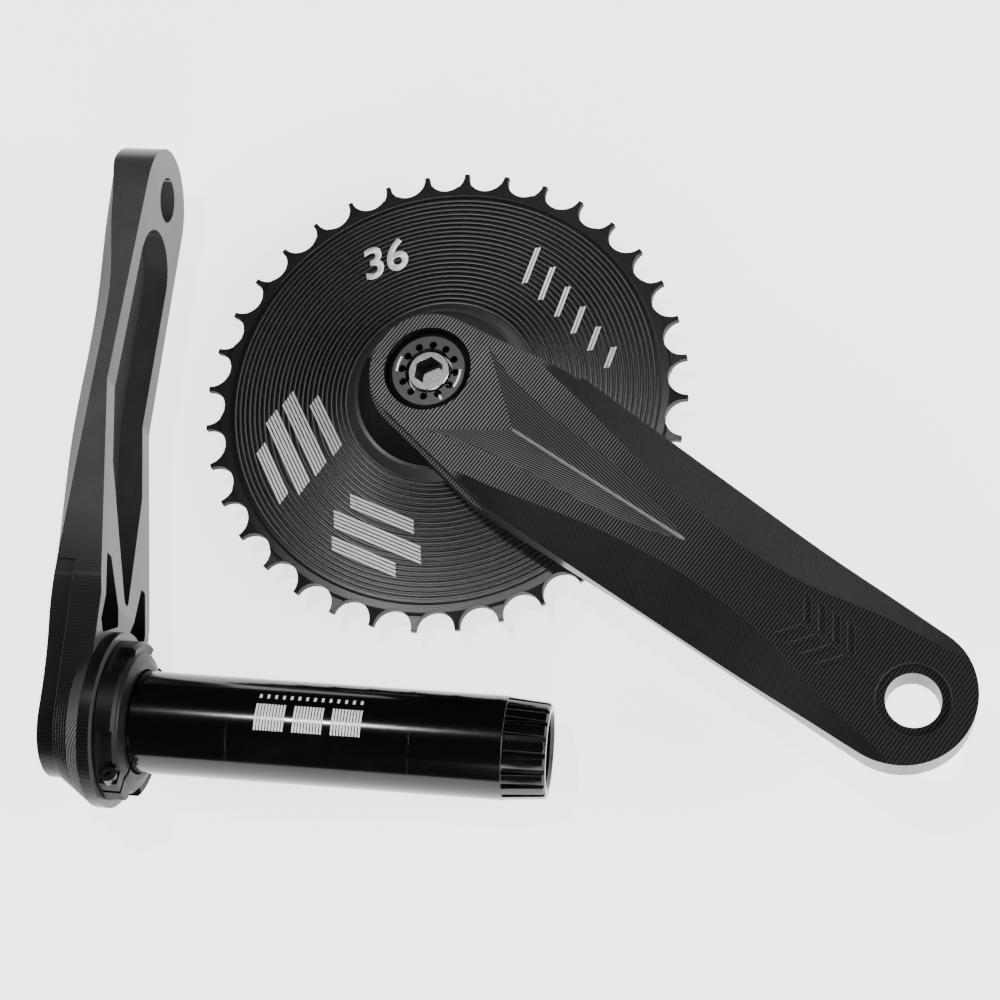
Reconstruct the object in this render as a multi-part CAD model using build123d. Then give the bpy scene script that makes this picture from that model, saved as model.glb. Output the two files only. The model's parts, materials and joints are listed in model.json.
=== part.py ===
"""Bicycle crankset in two halves, laid out on a flat surface.

Drive half: right-hand arm, chainring, crank bolt and self-extractor.
Left half: left-hand arm, spindle and bearing preload adjuster.

Each half is modelled in its own crank frame: X runs from the crank axis to the
pedal axis, Z points outboard along the crank axis, and Z = 0 is the outer face of
the arm's boss. All sizes are in millimetres.
"""

import math
import os

from build123d import *

# ---------------------------------------------------------------- driving sizes
CRANK_LENGTH = 170.0        # crank axis to pedal axis
SPINDLE_DIAMETER = 28.99
SPINDLE_LENGTH = 130.0
TEETH = 36
CHAIN_PITCH = 12.7
ROLLER_DIAMETER = 7.75
PEDAL_THREAD_DIAMETER = 14.288      # 9/16 inch
RUNNING_CLEARANCE = 0.10
SLIVER = 1.0                # how far a cutter runs past the face it opens

# Arm body
ARM_FLARE = 9.8             # the pedal boss stands this far outboard of the boss face
PEDAL_BOSS_THICKNESS = 13.0
PEDAL_END_RADIUS = 19.3
PEDAL_WALL = 15.6           # material from the pedal axis to the arm's tip
BOSS_RADIUS = 18.9
SHOULDER_RADIUS = 8.0       # rounding of the two widest corners of the outline
SHOULDER_X = 36.0
SHOULDER_HALF_WIDTH = 24.0
CREST_START_X = 8.0         # the outer face climbs outboard between these two
CREST_END_X = 100.0
WEB_DEPTH = 14.0            # boss face to the inner face near the boss
RAMP_START_X = 31.0         # the inner face climbs outboard between these two
RAMP_END_X = 97.0
RIM_INSET = 1.4             # step round the boss and along both shoulders
RIM_DROP = 5.0
RIM_END_X = 40.0
FLANGE_RADIUS = 25.0
FLANGE_FACE = 17.5          # boss face to the flange's inner face
FLANGE_THICKNESS = 3.5
FLARE_RIDGES = 5            # machined steps between the boss and the flange

# Dart-shaped recess in the outer face
DART_BACK_X = 10.2
DART_BACK_HALF_WIDTH = 16.3
DART_DEEP_X = 32.5
DART_DEPTH = 2.4            # below the boss face
DART_TIP_X = 97.0

# Pockets in the inner face
POCKET_WALL_PEDAL = 5.6     # between the main pocket and the pedal thread
POCKET_END_RADIUS = 13.6
POCKET_SHOULDER_X = 74.0
POCKET_SHOULDER_HALF_WIDTH = 15.0
POCKET_SHOULDER_RADIUS = 5.0
POCKET_TIP_X = 34.0
POCKET_TIP_RADIUS = 2.2
SIDE_POCKET_NEAR_X = 20.9
SIDE_POCKET_CORNERS = [      # (x, y) from the rib round to the shoulder
    (26.0, 4.8),
    (44.0, 15.0),
    (44.0, 18.9),
    (24.0, 19.8),
    (SIDE_POCKET_NEAR_X, 16.6),
]
SIDE_POCKET_CORNER = 0.9
POCKET_FLOOR_NEAR = -5.6    # height of the pockets' floor at the side pockets' near end
POCKET_FLOOR_FAR = 5.2      # and at the main pocket's far end

# Drive side boss, from the outer face inwards
CAP_DIAMETER = 26.0
CAP_SUNK = 1.5
CAP_THICKNESS = 2.8
CAP_RIM = 2.0               # sloping rim round the cap's face
CAP_RIM_DROP = 1.5
CAP_HOLE_RADIUS = 7.1
CAP_NOTCHES = 12
CAP_NOTCH_RADIUS = 1.15
CAP_NOTCH_OFFSET = 1.1
EXTRACTOR_WASHER_THICKNESS = 0.5
BOLT_FLANGE_INSET = 2.4     # cap's thread to the bolt's flange
BOLT_FLANGE_THICKNESS = 2.0
BOLT_WASHER_THICKNESS = 0.6
BOLT_HUB_RADIUS = 6.3
BOLT_HUB_RISE = 3.0
BOLT_SHANK_RADIUS = 7.9
BOLT_SHANK_LENGTH = 14.6
BOLT_HEX = 8.0              # across flats
BOLT_HEX_DEPTH = 6.0
BOLT_HOLE_GAP = 0.3
SHOULDER_WEB = 2.2
BOSS_PILOT_RADIUS = 17.5    # the chainring is centred on this
DRIVE_BOSS_END = 28.0       # boss face to the inboard end of the boss
SOCKET_PILOT_LENGTH = 3.0

# Spline shared by both ends of the spindle
SPLINE_TEETH = 18
SPLINE_CREST_STEP = 0.245   # journal's surface down to the crests
SPLINE_DEPTH = 1.5
SPLINE_TIP_TAPER = 0.9      # lower crests at the very end, where the spline tapers
SPLINE_LENGTH = 12.0
SPLINE_CREST_SHARE = 0.56   # share of a tooth's pitch at the crest
SPLINE_GAP = 0.08

# Spindle
SPINDLE_END_GAP = 1.8       # the bolt draws the arm on across this gap
SPINDLE_MOUTH_WALL = 3.05   # round the mouth, at the spline's tip
SPINDLE_MOUTH_DEPTH = 4.0
SPINDLE_THREAD_RADIUS = 8.0
SPINDLE_THREAD_END = 22.0    # from each end of the spindle to the end of its thread
SPINDLE_WALL = 3.195
SPINDLE_END_CHAMFER = 0.7

# Chainring
RING_THICKNESS = 4.0
TOOTH_PHASE = 3.6           # degrees from the arm to the nearest thick tooth
RING_TIP_RISE = 2.2         # tooth tip above the pitch circle
VALLEY_RADIUS = 5.8
NARROW_TOOTH = 2.1
WIDE_TOOTH_TIP = 2.0
TOOTH_BAND_DROP = 0.35
HUB_RADIUS = 29.2           # smooth cone round the arm's flange
HUB_RISE = 2.8
HUB_LAND = 1.2
GROOVE_INNER_RADIUS = 29.5
TOOTH_BAND_WIDTH = 2.583    # plain band between the grooves and the valleys
GROOVES = 24
GROOVE_DEPTH = 0.55
GROOVE_SHARE = 0.5          # share of the pitch that is cut away
BACK_RECESS_INNER = 31.0
BACK_RIM_WIDTH = 4.4
BACK_RECESS_DEPTH = 1.0
RING_BOLTS = 3
RING_BOLT_CIRCLE_RADIUS = 21.4
RING_BOLT_RADIUS = 2.5
RING_BOLT_HEAD_RADIUS = 3.7
RING_BOLT_HEAD_HEIGHT = 2.4
RING_BOLT_SINK = 1.4
RING_BOLT_LENGTH = 6.4
RING_BOLT_HEX = 3.5

# Left boss and bearing preload adjuster
LEFT_SPIGOT_WALL = 3.75
LEFT_SPIGOT_END = 22.4      # outer face to the end of the threaded spigot
ADJUSTER_START = 17.9
ADJUSTER_END = 24.5
ADJUSTER_LIP = 1.1
ADJUSTER_WALL = 2.6
ADJUSTER_LUG_REACH = 4.7    # from the spigot to the lugs' tips
ADJUSTER_LUGS = 5
ADJUSTER_LUG_ANGLE = 43.0
ADJUSTER_LUG_FIRST = 270.0
ADJUSTER_SPLIT = 1.2
SEAL_THICKNESS = 0.6
FACE_GAP = 0.02             # between flat faces that turn on each other
PINCH_RADIUS = 1.25
PINCH_HEAD_RADIUS = 2.3
PINCH_HEAD_LENGTH = 2.4
PINCH_LENGTH = 7.0
PINCH_HEX = 2.0

# Pedal end
PEDAL_SEAT_RADIUS = 9.6
PEDAL_SEAT_DEPTH = 1.3
EMBLEM_CHEVRONS = 4
EMBLEM_PITCH = 4.6
EMBLEM_BAR = 2.2
EMBLEM_HALF_WIDTH = 7.0
EMBLEM_SWEEP = 4.5
EMBLEM_X = 131.0
EMBLEM_DEPTH = 0.35

# Layout on the surface: angles in degrees, seen from above
DRIVE_ARM_AZIMUTH = -39.1
SPINDLE_AZIMUTH = -5.1
SPINDLE_TIP_X = 33.7
SPINDLE_TIP_Y = -112.1

# ---------------------------------------------------------------- worked-out sizes
SPINDLE_RADIUS = SPINDLE_DIAMETER / 2
SPINDLE_BORE_RADIUS = SPINDLE_RADIUS - SPINDLE_WALL
SPLINE_CREST_RADIUS = SPINDLE_RADIUS - SPLINE_CREST_STEP
SPLINE_ROOT_RADIUS = SPLINE_CREST_RADIUS - SPLINE_DEPTH
SPLINE_TIP_RADIUS = SPLINE_CREST_RADIUS - SPLINE_TIP_TAPER
SPINDLE_MOUTH_RADIUS = SPLINE_TIP_RADIUS - SPINDLE_MOUTH_WALL
LEFT_SPIGOT_RADIUS = SPLINE_CREST_RADIUS + LEFT_SPIGOT_WALL
ADJUSTER_RADIUS = LEFT_SPIGOT_RADIUS + ADJUSTER_WALL
ADJUSTER_LUG_RADIUS = LEFT_SPIGOT_RADIUS + ADJUSTER_LUG_REACH
PITCH_RADIUS = CHAIN_PITCH / (2 * math.sin(math.pi / TEETH))
ROOT_RADIUS = PITCH_RADIUS - ROLLER_DIAMETER / 2
TIP_RADIUS = PITCH_RADIUS + RING_TIP_RISE
GROOVE_OUTER_RADIUS = ROOT_RADIUS - TOOTH_BAND_WIDTH
BACK_RECESS_OUTER = GROOVE_OUTER_RADIUS - BACK_RIM_WIDTH
RING_TOP = -FLANGE_FACE
RING_BOTTOM = RING_TOP - RING_THICKNESS
RING_MIDDLE = (RING_TOP + RING_BOTTOM) / 2
PEDAL_RADIUS = PEDAL_THREAD_DIAMETER / 2
PEDAL_END_X = CRANK_LENGTH + PEDAL_WALL - PEDAL_END_RADIUS
PEDAL_BACK = ARM_FLARE - PEDAL_BOSS_THICKNESS
BOLT_FLANGE_RADIUS = CAP_DIAMETER / 2 - BOLT_FLANGE_INSET
CAP_TOP = -CAP_SUNK
CAP_BOTTOM = CAP_TOP - CAP_THICKNESS
BOLT_FLANGE_TOP = CAP_BOTTOM - EXTRACTOR_WASHER_THICKNESS
BOLT_FLANGE_BOTTOM = BOLT_FLANGE_TOP - BOLT_FLANGE_THICKNESS
WEB_TOP = BOLT_FLANGE_BOTTOM - BOLT_WASHER_THICKNESS
WEB_BOTTOM = WEB_TOP - SHOULDER_WEB
SPINDLE_LEFT_Z = WEB_BOTTOM - SPINDLE_END_GAP
SPINDLE_TIP_Z = SPINDLE_LEFT_Z - SPINDLE_LENGTH
JOURNAL_START = -ADJUSTER_END
JOURNAL_END = SPINDLE_TIP_Z + SPLINE_LENGTH


# ---------------------------------------------------------------- small helpers
def turned(points, start=0.0, sweep=360.0):
    """Solid of revolution about Z from (radius, z) points."""
    profile = make_face(Polyline(*[(r, 0, z) for r, z in points], close=True))
    return Rot(0, 0, start) * revolve(profile, Axis.Z, sweep)


def tube(outer, inner, low, high):
    """Ring about Z between two heights."""
    return turned([(inner, low), (outer, low), (outer, high), (inner, high)])


def rod(radius, low, high, x=0.0, y=0.0):
    """Round bar along Z between two heights."""
    return Pos(x, y, (low + high) / 2) * Cylinder(radius, high - low)


def prism(points, low, high):
    """Straight-sided block over a polygon."""
    face = make_face(Polyline(*points, close=True))
    return Pos(0, 0, low) * extrude(face, high - low)


def hexagon(across_flats, low, high, x=0.0, y=0.0):
    """Hexagonal bar along Z."""
    face = RegularPolygon(across_flats / 2, 6, major_radius=False)
    return Pos(x, y, low) * extrude(face, high - low)


def side_profile(points, half_width):
    """Block whose outline is drawn in the XZ plane."""
    face = make_face(Polyline(*[(x, 0, z) for x, z in points], close=True))
    return extrude(face, half_width, both=True)


def spline_outline(grow):
    """Toothed outline of the spindle spline, grown by a gap for the socket."""
    points = []
    pitch = 2 * math.pi / SPLINE_TEETH
    half_crest = SPLINE_CREST_SHARE * pitch / 2
    for tooth in range(SPLINE_TEETH):
        middle = tooth * pitch
        crest = SPLINE_CREST_RADIUS + grow
        root = SPLINE_ROOT_RADIUS + grow
        reach = half_crest + grow / crest
        rise = (pitch / 2 - half_crest) / 3
        for angle, radius in (
            (middle - reach - rise, root),
            (middle - reach, crest),
            (middle, crest),
            (middle + reach, crest),
            (middle + reach + rise, root),
        ):
            points.append((radius * math.cos(angle), radius * math.sin(angle)))
    return make_face(Polyline(*points, close=True))


def spline_bar(low, high, narrow_high, grow=0.0, end_chamfer=0.0):
    """Splined bar whose crests taper towards one end, grown by a gap for the socket."""
    bar = Pos(0, 0, low) * extrude(spline_outline(grow), high - low)
    wide = SPLINE_CREST_RADIUS + grow
    fine = SPLINE_TIP_RADIUS + grow
    taper = [(wide, 0), (fine, high - low - end_chamfer)]
    if end_chamfer:
        taper.append((fine - end_chamfer, high - low))
    if narrow_high:
        sides = [(radius, low + along) for radius, along in taper]
    else:
        sides = [(radius, high - along) for radius, along in taper]
    return bar & turned([(0, sides[0][1]), *sides, (0, sides[-1][1])])


# ---------------------------------------------------------------- crank arms
# Stations along the arm: x, half-width of the flat crest, and height of the side
# wall's outer edge, where the bevel that falls from the crest ends.
ARM_STATIONS = [
    (-24.0, 27.0, 0.0),
    (0.0, 27.0, 0.0),
    (14.0, 24.0, 0.0),
    (27.0, 20.3, 0.6),
    (43.0, 17.4, 0.6),
    (62.0, 13.4, 0.8),
    (82.0, 9.9, 1.0),
    (100.0, 8.0, 1.2),
    (115.0, 7.8, 1.4),
    (128.0, 8.7, 2.0),
    (140.0, 11.0, 3.8),
    (153.0, 13.8, 6.2),
    (CRANK_LENGTH, 16.0, 8.8),
    (CRANK_LENGTH + 22, 17.0, ARM_FLARE - 0.4),
]
STATION_HALF_WIDTH = 30.0
BELOW_ALL = -40.0


def ease(x, start, end):
    """Smooth step from 0 to 1 between two places."""
    share = min(max((x - start) / (end - start), 0.0), 1.0)
    return share * share * (3 - 2 * share)


def crest_height(x):
    """Height of the outer face's crest."""
    return ARM_FLARE * ease(x, CREST_START_X, CREST_END_X)


def outline_half_width(x):
    """Half-width of the arm's straight sides, from the shoulders to the pedal end."""
    share = (x - SHOULDER_X) / (PEDAL_END_X - SHOULDER_X)
    return SHOULDER_HALF_WIDTH + (PEDAL_END_RADIUS - SHOULDER_HALF_WIDTH) * share


def arm_outline(inset=0.0):
    """Plan view of the arm: the boss, two broad shoulders and the pedal end, hulled."""
    edges = list(Circle(BOSS_RADIUS - inset).edges())
    edges += (Pos(PEDAL_END_X, 0) * Circle(PEDAL_END_RADIUS - inset)).edges()
    for side in (-1, 1):
        y = side * (SHOULDER_HALF_WIDTH - SHOULDER_RADIUS)
        edges += (Pos(SHOULDER_X, y) * Circle(SHOULDER_RADIUS - inset)).edges()
    return make_hull(edges)


def arm_blank():
    """The arm's crest and side bevels, lofted smoothly through the stations."""
    sections = []
    for x, half_crest, wall_top in ARM_STATIONS:
        crest = crest_height(x)
        run = max(outline_half_width(x) - half_crest, 1.0)
        edge = crest - (crest - wall_top) / run * (STATION_HALF_WIDTH - half_crest)
        corners = [
            (-STATION_HALF_WIDTH, BELOW_ALL),
            (-STATION_HALF_WIDTH, edge),
            (-half_crest, crest),
            (half_crest, crest),
            (STATION_HALF_WIDTH, edge),
            (STATION_HALF_WIDTH, BELOW_ALL),
        ]
        sections.append(make_face(Polyline(*[(x, y, z) for y, z in corners], close=True)))
    return loft(sections)


def inner_face():
    """Everything outboard of the arm's inner face, which ramps up from the boss."""
    far = CRANK_LENGTH + 30
    points = [
        (-STATION_HALF_WIDTH, -WEB_DEPTH),
        (RAMP_START_X, -WEB_DEPTH),
        (RAMP_END_X, PEDAL_BACK),
        (far, PEDAL_BACK),
        (far, STATION_HALF_WIDTH),
        (-STATION_HALF_WIDTH, STATION_HALF_WIDTH),
    ]
    return side_profile(points, STATION_HALF_WIDTH)


def rim_cutter():
    """Narrow step that sets the top of the boss and shoulders in from the sides."""
    outer = extrude(arm_outline(-SLIVER), STATION_HALF_WIDTH)
    ring = outer - extrude(arm_outline(RIM_INSET), STATION_HALF_WIDTH)
    limit = Pos(RIM_END_X - STATION_HALF_WIDTH * 2, 0, STATION_HALF_WIDTH / 2)
    ring &= limit * Box(STATION_HALF_WIDTH * 4, STATION_HALF_WIDTH * 2, STATION_HALF_WIDTH)
    return Pos(0, 0, -RIM_DROP) * ring


def boss_flare(ridges):
    """Round boss that widens to the inner flange, in machined steps if there are any."""
    flange_top = -(FLANGE_FACE - FLANGE_THICKNESS)
    stepped = (-RIM_DROP - flange_top) * 0.55
    slope = (FLANGE_RADIUS - BOSS_RADIUS) / (-RIM_DROP - flange_top)
    profile = [(0, -RIM_DROP), (BOSS_RADIUS, -RIM_DROP)]
    for ridge in range(1, ridges + 1):
        drop = stepped * ridge / ridges
        radius = BOSS_RADIUS + slope * drop
        profile += [
            (radius - slope * stepped / ridges + 0.1, -RIM_DROP - drop),
            (radius, -RIM_DROP - drop - 0.05),
        ]
    profile += [(FLANGE_RADIUS, flange_top), (FLANGE_RADIUS, -FLANGE_FACE), (0, -FLANGE_FACE)]
    return turned(profile)


def dart_cutter():
    """Three-sided pyramid that cuts the dart recess, its point at the deepest spot."""
    deep = Vector(DART_DEEP_X, 0, -DART_DEPTH)
    back_z = crest_height(DART_BACK_X)
    lid_z = ARM_FLARE + 4.0
    corners = []
    for x, y, z in (
        (DART_BACK_X, DART_BACK_HALF_WIDTH, back_z),
        (DART_BACK_X, -DART_BACK_HALF_WIDTH, back_z),
        (DART_TIP_X, 0, crest_height(DART_TIP_X)),
    ):
        stretch = (lid_z - deep.Z) / (z - deep.Z)
        corners.append(deep + (Vector(x, y, z) - deep) * stretch)
    faces = [make_face(Polyline(*corners, close=True))]
    for index in range(3):
        edge = [corners[index], corners[(index + 1) % 3], deep]
        faces.append(make_face(Polyline(*edge, close=True)))
    return Solid(Shell(faces))


def pocket_cutters():
    """Main pocket and its two side pockets, all bottoming on one sloping floor."""
    end_x = CRANK_LENGTH - PEDAL_RADIUS - POCKET_WALL_PEDAL - POCKET_END_RADIUS
    far_x = end_x + POCKET_END_RADIUS
    floor = [
        (SIDE_POCKET_NEAR_X - SLIVER, BELOW_ALL),
        (SIDE_POCKET_NEAR_X - SLIVER, POCKET_FLOOR_NEAR),
        (RAMP_END_X, POCKET_FLOOR_FAR - 1),
        (far_x + SLIVER, POCKET_FLOOR_FAR),
        (far_x + SLIVER, BELOW_ALL),
    ]
    under = side_profile(floor, STATION_HALF_WIDTH)
    hull = list((Pos(end_x, 0) * Circle(POCKET_END_RADIUS)).edges())
    hull += (Pos(POCKET_TIP_X + POCKET_TIP_RADIUS, 0) * Circle(POCKET_TIP_RADIUS)).edges()
    for side in (-1, 1):
        y = side * (POCKET_SHOULDER_HALF_WIDTH - POCKET_SHOULDER_RADIUS)
        hull += (Pos(POCKET_SHOULDER_X, y) * Circle(POCKET_SHOULDER_RADIUS)).edges()
    cutters = (Pos(0, 0, BELOW_ALL) * extrude(make_hull(hull), -2 * BELOW_ALL)) & under
    for side in (-1, 1):
        corners = [(x, side * y) for x, y in SIDE_POCKET_CORNERS]
        face = make_face(Polyline(*corners, close=True))
        face = fillet(face.vertices(), SIDE_POCKET_CORNER)
        cutters += (Pos(0, 0, BELOW_ALL) * extrude(face, -2 * BELOW_ALL)) & under
    return cutters


def emblem_cutter():
    """Shallow plain chevrons engraved in the crest, pointing to the pedal."""
    bars = None
    low = ARM_FLARE - EMBLEM_DEPTH
    for step in range(EMBLEM_CHEVRONS):
        x = EMBLEM_X + step * EMBLEM_PITCH
        for side in (-1, 1):
            corners = [
                (x, side * EMBLEM_HALF_WIDTH),
                (x + EMBLEM_SWEEP, side * 0.6),
                (x + EMBLEM_SWEEP + EMBLEM_BAR, side * 0.6),
                (x + EMBLEM_BAR, side * EMBLEM_HALF_WIDTH),
            ]
            bar = prism(corners, low, ARM_FLARE + SLIVER)
            bars = bar if bars is None else bars + bar
    return bars


def plain_arm(ridges):
    """What both arms share, before their bores are cut."""
    body = (Pos(0, 0, BELOW_ALL) * extrude(arm_outline(), -2 * BELOW_ALL)) & arm_blank()
    body &= inner_face()
    body -= rim_cutter()
    body += boss_flare(ridges)
    body -= pocket_cutters()
    body -= dart_cutter()
    body -= emblem_cutter()
    body -= rod(PEDAL_RADIUS, PEDAL_BACK - SLIVER, ARM_FLARE + SLIVER, x=CRANK_LENGTH)
    seat = ARM_FLARE - PEDAL_SEAT_DEPTH
    body -= rod(PEDAL_SEAT_RADIUS, seat, ARM_FLARE + SLIVER, x=CRANK_LENGTH)
    return body - bolt_seat_bore()


def bolt_seat_bore():
    """Cap thread, washer seat and bolt hole, open to the boss face."""
    bore = rod(CAP_DIAMETER / 2 + RUNNING_CLEARANCE, WEB_TOP, SLIVER)
    return bore + rod(BOLT_SHANK_RADIUS + BOLT_HOLE_GAP, WEB_BOTTOM - SLIVER, WEB_TOP + SLIVER)


def ring_bolt_places():
    """Centres of the chainring bolts."""
    places = []
    for index in range(RING_BOLTS):
        angle = math.radians(60 + index * 360 / RING_BOLTS)
        places.append(
            (RING_BOLT_CIRCLE_RADIUS * math.cos(angle), RING_BOLT_CIRCLE_RADIUS * math.sin(angle))
        )
    return places


def spline_socket(mouth):
    """Spindle socket: a splined bore behind a plain one that fits the journal."""
    pilot_top = mouth + SOCKET_PILOT_LENGTH
    socket = spline_bar(pilot_top - SLIVER, WEB_BOTTOM, True, SPLINE_GAP)
    return socket + rod(SPINDLE_RADIUS + RUNNING_CLEARANCE, mouth - SLIVER, pilot_top)


def make_drive_arm():
    """Right-hand arm, its boss running through the chainring."""
    arm = plain_arm(0)
    arm += tube(BOSS_PILOT_RADIUS, SPLINE_ROOT_RADIUS, -DRIVE_BOSS_END, -FLANGE_FACE + 1)
    arm -= spline_socket(-DRIVE_BOSS_END)
    for x, y in ring_bolt_places():
        top = RING_BOTTOM + RING_BOLT_SINK + RING_BOLT_LENGTH
        arm -= rod(RING_BOLT_RADIUS, RING_TOP - SLIVER, top, x, y)
    return arm


def make_left_arm():
    """Left-hand arm, its boss ending in the adjuster's threaded spigot."""
    arm = plain_arm(FLARE_RIDGES)
    arm += tube(LEFT_SPIGOT_RADIUS, SPLINE_ROOT_RADIUS, -LEFT_SPIGOT_END, -FLANGE_FACE + 1)
    return arm - spline_socket(-LEFT_SPIGOT_END)


# ---------------------------------------------------------------- drive half
def make_chainring():
    """Narrow-wide chainring: ring grooves in front, alternate thick and thin teeth."""
    pitch = (GROOVE_OUTER_RADIUS - GROOVE_INNER_RADIUS) / GROOVES
    half = RING_THICKNESS / 2
    flange_bore = FLANGE_RADIUS + RUNNING_CLEARANCE
    front = [
        (BOSS_PILOT_RADIUS + RUNNING_CLEARANCE, half),
        (flange_bore, half),
        (flange_bore, half + HUB_RISE),
        (flange_bore + HUB_LAND, half + HUB_RISE),
        (HUB_RADIUS, half),
    ]
    for groove in range(GROOVES):
        start = GROOVE_INNER_RADIUS + groove * pitch
        cut = pitch * GROOVE_SHARE
        front += [
            (start, half),
            (start + cut * 0.3, half - GROOVE_DEPTH),
            (start + cut * 0.7, half - GROOVE_DEPTH),
            (start + cut, half),
        ]
    band = half - TOOTH_BAND_DROP
    front += [
        (GROOVE_OUTER_RADIUS + 0.3, half),
        (GROOVE_OUTER_RADIUS + 0.9, band),
        (ROOT_RADIUS + 0.6, band),
        (TIP_RADIUS + 0.2, WIDE_TOOTH_TIP / 2),
    ]
    back = [
        (TIP_RADIUS + 0.2, -WIDE_TOOTH_TIP / 2),
        (ROOT_RADIUS + 0.6, -band),
        (GROOVE_OUTER_RADIUS + 0.9, -band),
        (GROOVE_OUTER_RADIUS + 0.3, -half),
        (BACK_RECESS_OUTER, -half),
        (BACK_RECESS_OUTER - 1, -half + BACK_RECESS_DEPTH),
        (BACK_RECESS_INNER + 1, -half + BACK_RECESS_DEPTH),
        (BACK_RECESS_INNER, -half),
        (BOSS_PILOT_RADIUS + RUNNING_CLEARANCE, -half),
    ]
    disc = turned(front + back)
    outline = Circle(TIP_RADIUS)
    valleys = PolarLocations(ROOT_RADIUS + VALLEY_RADIUS, TEETH, 180 / TEETH + TOOTH_PHASE)
    outline -= valleys * Circle(VALLEY_RADIUS)
    ring = disc & (Pos(0, 0, -half) * extrude(outline, RING_THICKNESS + HUB_RISE))
    step = (RING_THICKNESS - NARROW_TOOTH) / 2
    for side in (-1, 1):
        height = side * (NARROW_TOOTH / 2 + step / 2 + 0.5)
        slabs = PolarLocations(ROOT_RADIUS + 5.4, TEETH // 2, TOOTH_PHASE)
        ring -= Pos(0, 0, height) * slabs * Box(8, 11, step + 1)
    ring = Pos(0, 0, RING_MIDDLE) * ring
    for x, y in ring_bolt_places():
        ring -= rod(RING_BOLT_RADIUS + 0.2, RING_BOTTOM - SLIVER, RING_TOP + SLIVER, x, y)
        sunk = RING_BOTTOM + RING_BOLT_SINK
        ring -= rod(RING_BOLT_HEAD_RADIUS + 0.2, RING_BOTTOM - SLIVER, sunk, x, y)
    return ring


def make_ring_bolt(x, y):
    """One chainring bolt, fitted from the inboard side."""
    seat = RING_BOTTOM + RING_BOLT_SINK
    head_end = seat - RING_BOLT_HEAD_HEIGHT
    bolt = rod(RING_BOLT_HEAD_RADIUS, head_end, seat, x, y)
    bolt = chamfer(bolt.edges().group_by(Axis.Z)[0], 0.4)
    bolt += rod(RING_BOLT_RADIUS - 0.02, seat - SLIVER, seat + RING_BOLT_LENGTH - 0.2, x, y)
    return bolt - hexagon(RING_BOLT_HEX, head_end - SLIVER, seat - 0.4, x, y)


def make_crank_bolt():
    """Crank bolt: flanged head with a hexagon socket, and a threaded shank."""
    hub_top = BOLT_FLANGE_TOP + BOLT_HUB_RISE
    shank_end = BOLT_FLANGE_BOTTOM - BOLT_SHANK_LENGTH
    bolt = turned(
        [
            (0, hub_top),
            (BOLT_HUB_RADIUS - 0.3, hub_top),
            (BOLT_HUB_RADIUS, hub_top - 0.3),
            (BOLT_HUB_RADIUS, BOLT_FLANGE_TOP),
            (BOLT_FLANGE_RADIUS, BOLT_FLANGE_TOP),
            (BOLT_FLANGE_RADIUS, BOLT_FLANGE_BOTTOM),
            (BOLT_SHANK_RADIUS, BOLT_FLANGE_BOTTOM),
            (BOLT_SHANK_RADIUS, shank_end + 0.8),
            (BOLT_SHANK_RADIUS - 0.8, shank_end),
            (0, shank_end),
        ]
    )
    return bolt - hexagon(BOLT_HEX, hub_top - BOLT_HEX_DEPTH, hub_top + SLIVER)


def make_bolt_washer():
    """Washer between the crank bolt's flange and the arm."""
    top = BOLT_FLANGE_BOTTOM - FACE_GAP
    return tube(BOLT_FLANGE_RADIUS + 0.6, BOLT_SHANK_RADIUS + 0.2, WEB_TOP, top)


def make_extractor_washer():
    """Thin slip washer between the crank bolt's flange and the extractor cap."""
    bottom = BOLT_FLANGE_TOP + FACE_GAP
    return tube(BOLT_FLANGE_RADIUS + 0.6, BOLT_HUB_RADIUS + 0.6, bottom, CAP_BOTTOM)


def make_extractor_cap():
    """Self-extractor cap, threaded into the arm over the crank bolt."""
    outer = CAP_DIAMETER / 2
    cap = turned(
        [
            (CAP_HOLE_RADIUS, CAP_BOTTOM),
            (outer, CAP_BOTTOM),
            (outer, CAP_TOP - CAP_RIM_DROP),
            (outer - CAP_RIM, CAP_TOP),
            (CAP_HOLE_RADIUS, CAP_TOP),
        ]
    )
    notches = PolarLocations(CAP_HOLE_RADIUS + CAP_NOTCH_OFFSET, CAP_NOTCHES)
    middle = Pos(0, 0, (CAP_TOP + CAP_BOTTOM) / 2)
    return cap - middle * notches * Cylinder(CAP_NOTCH_RADIUS, 2 * CAP_THICKNESS)


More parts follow.
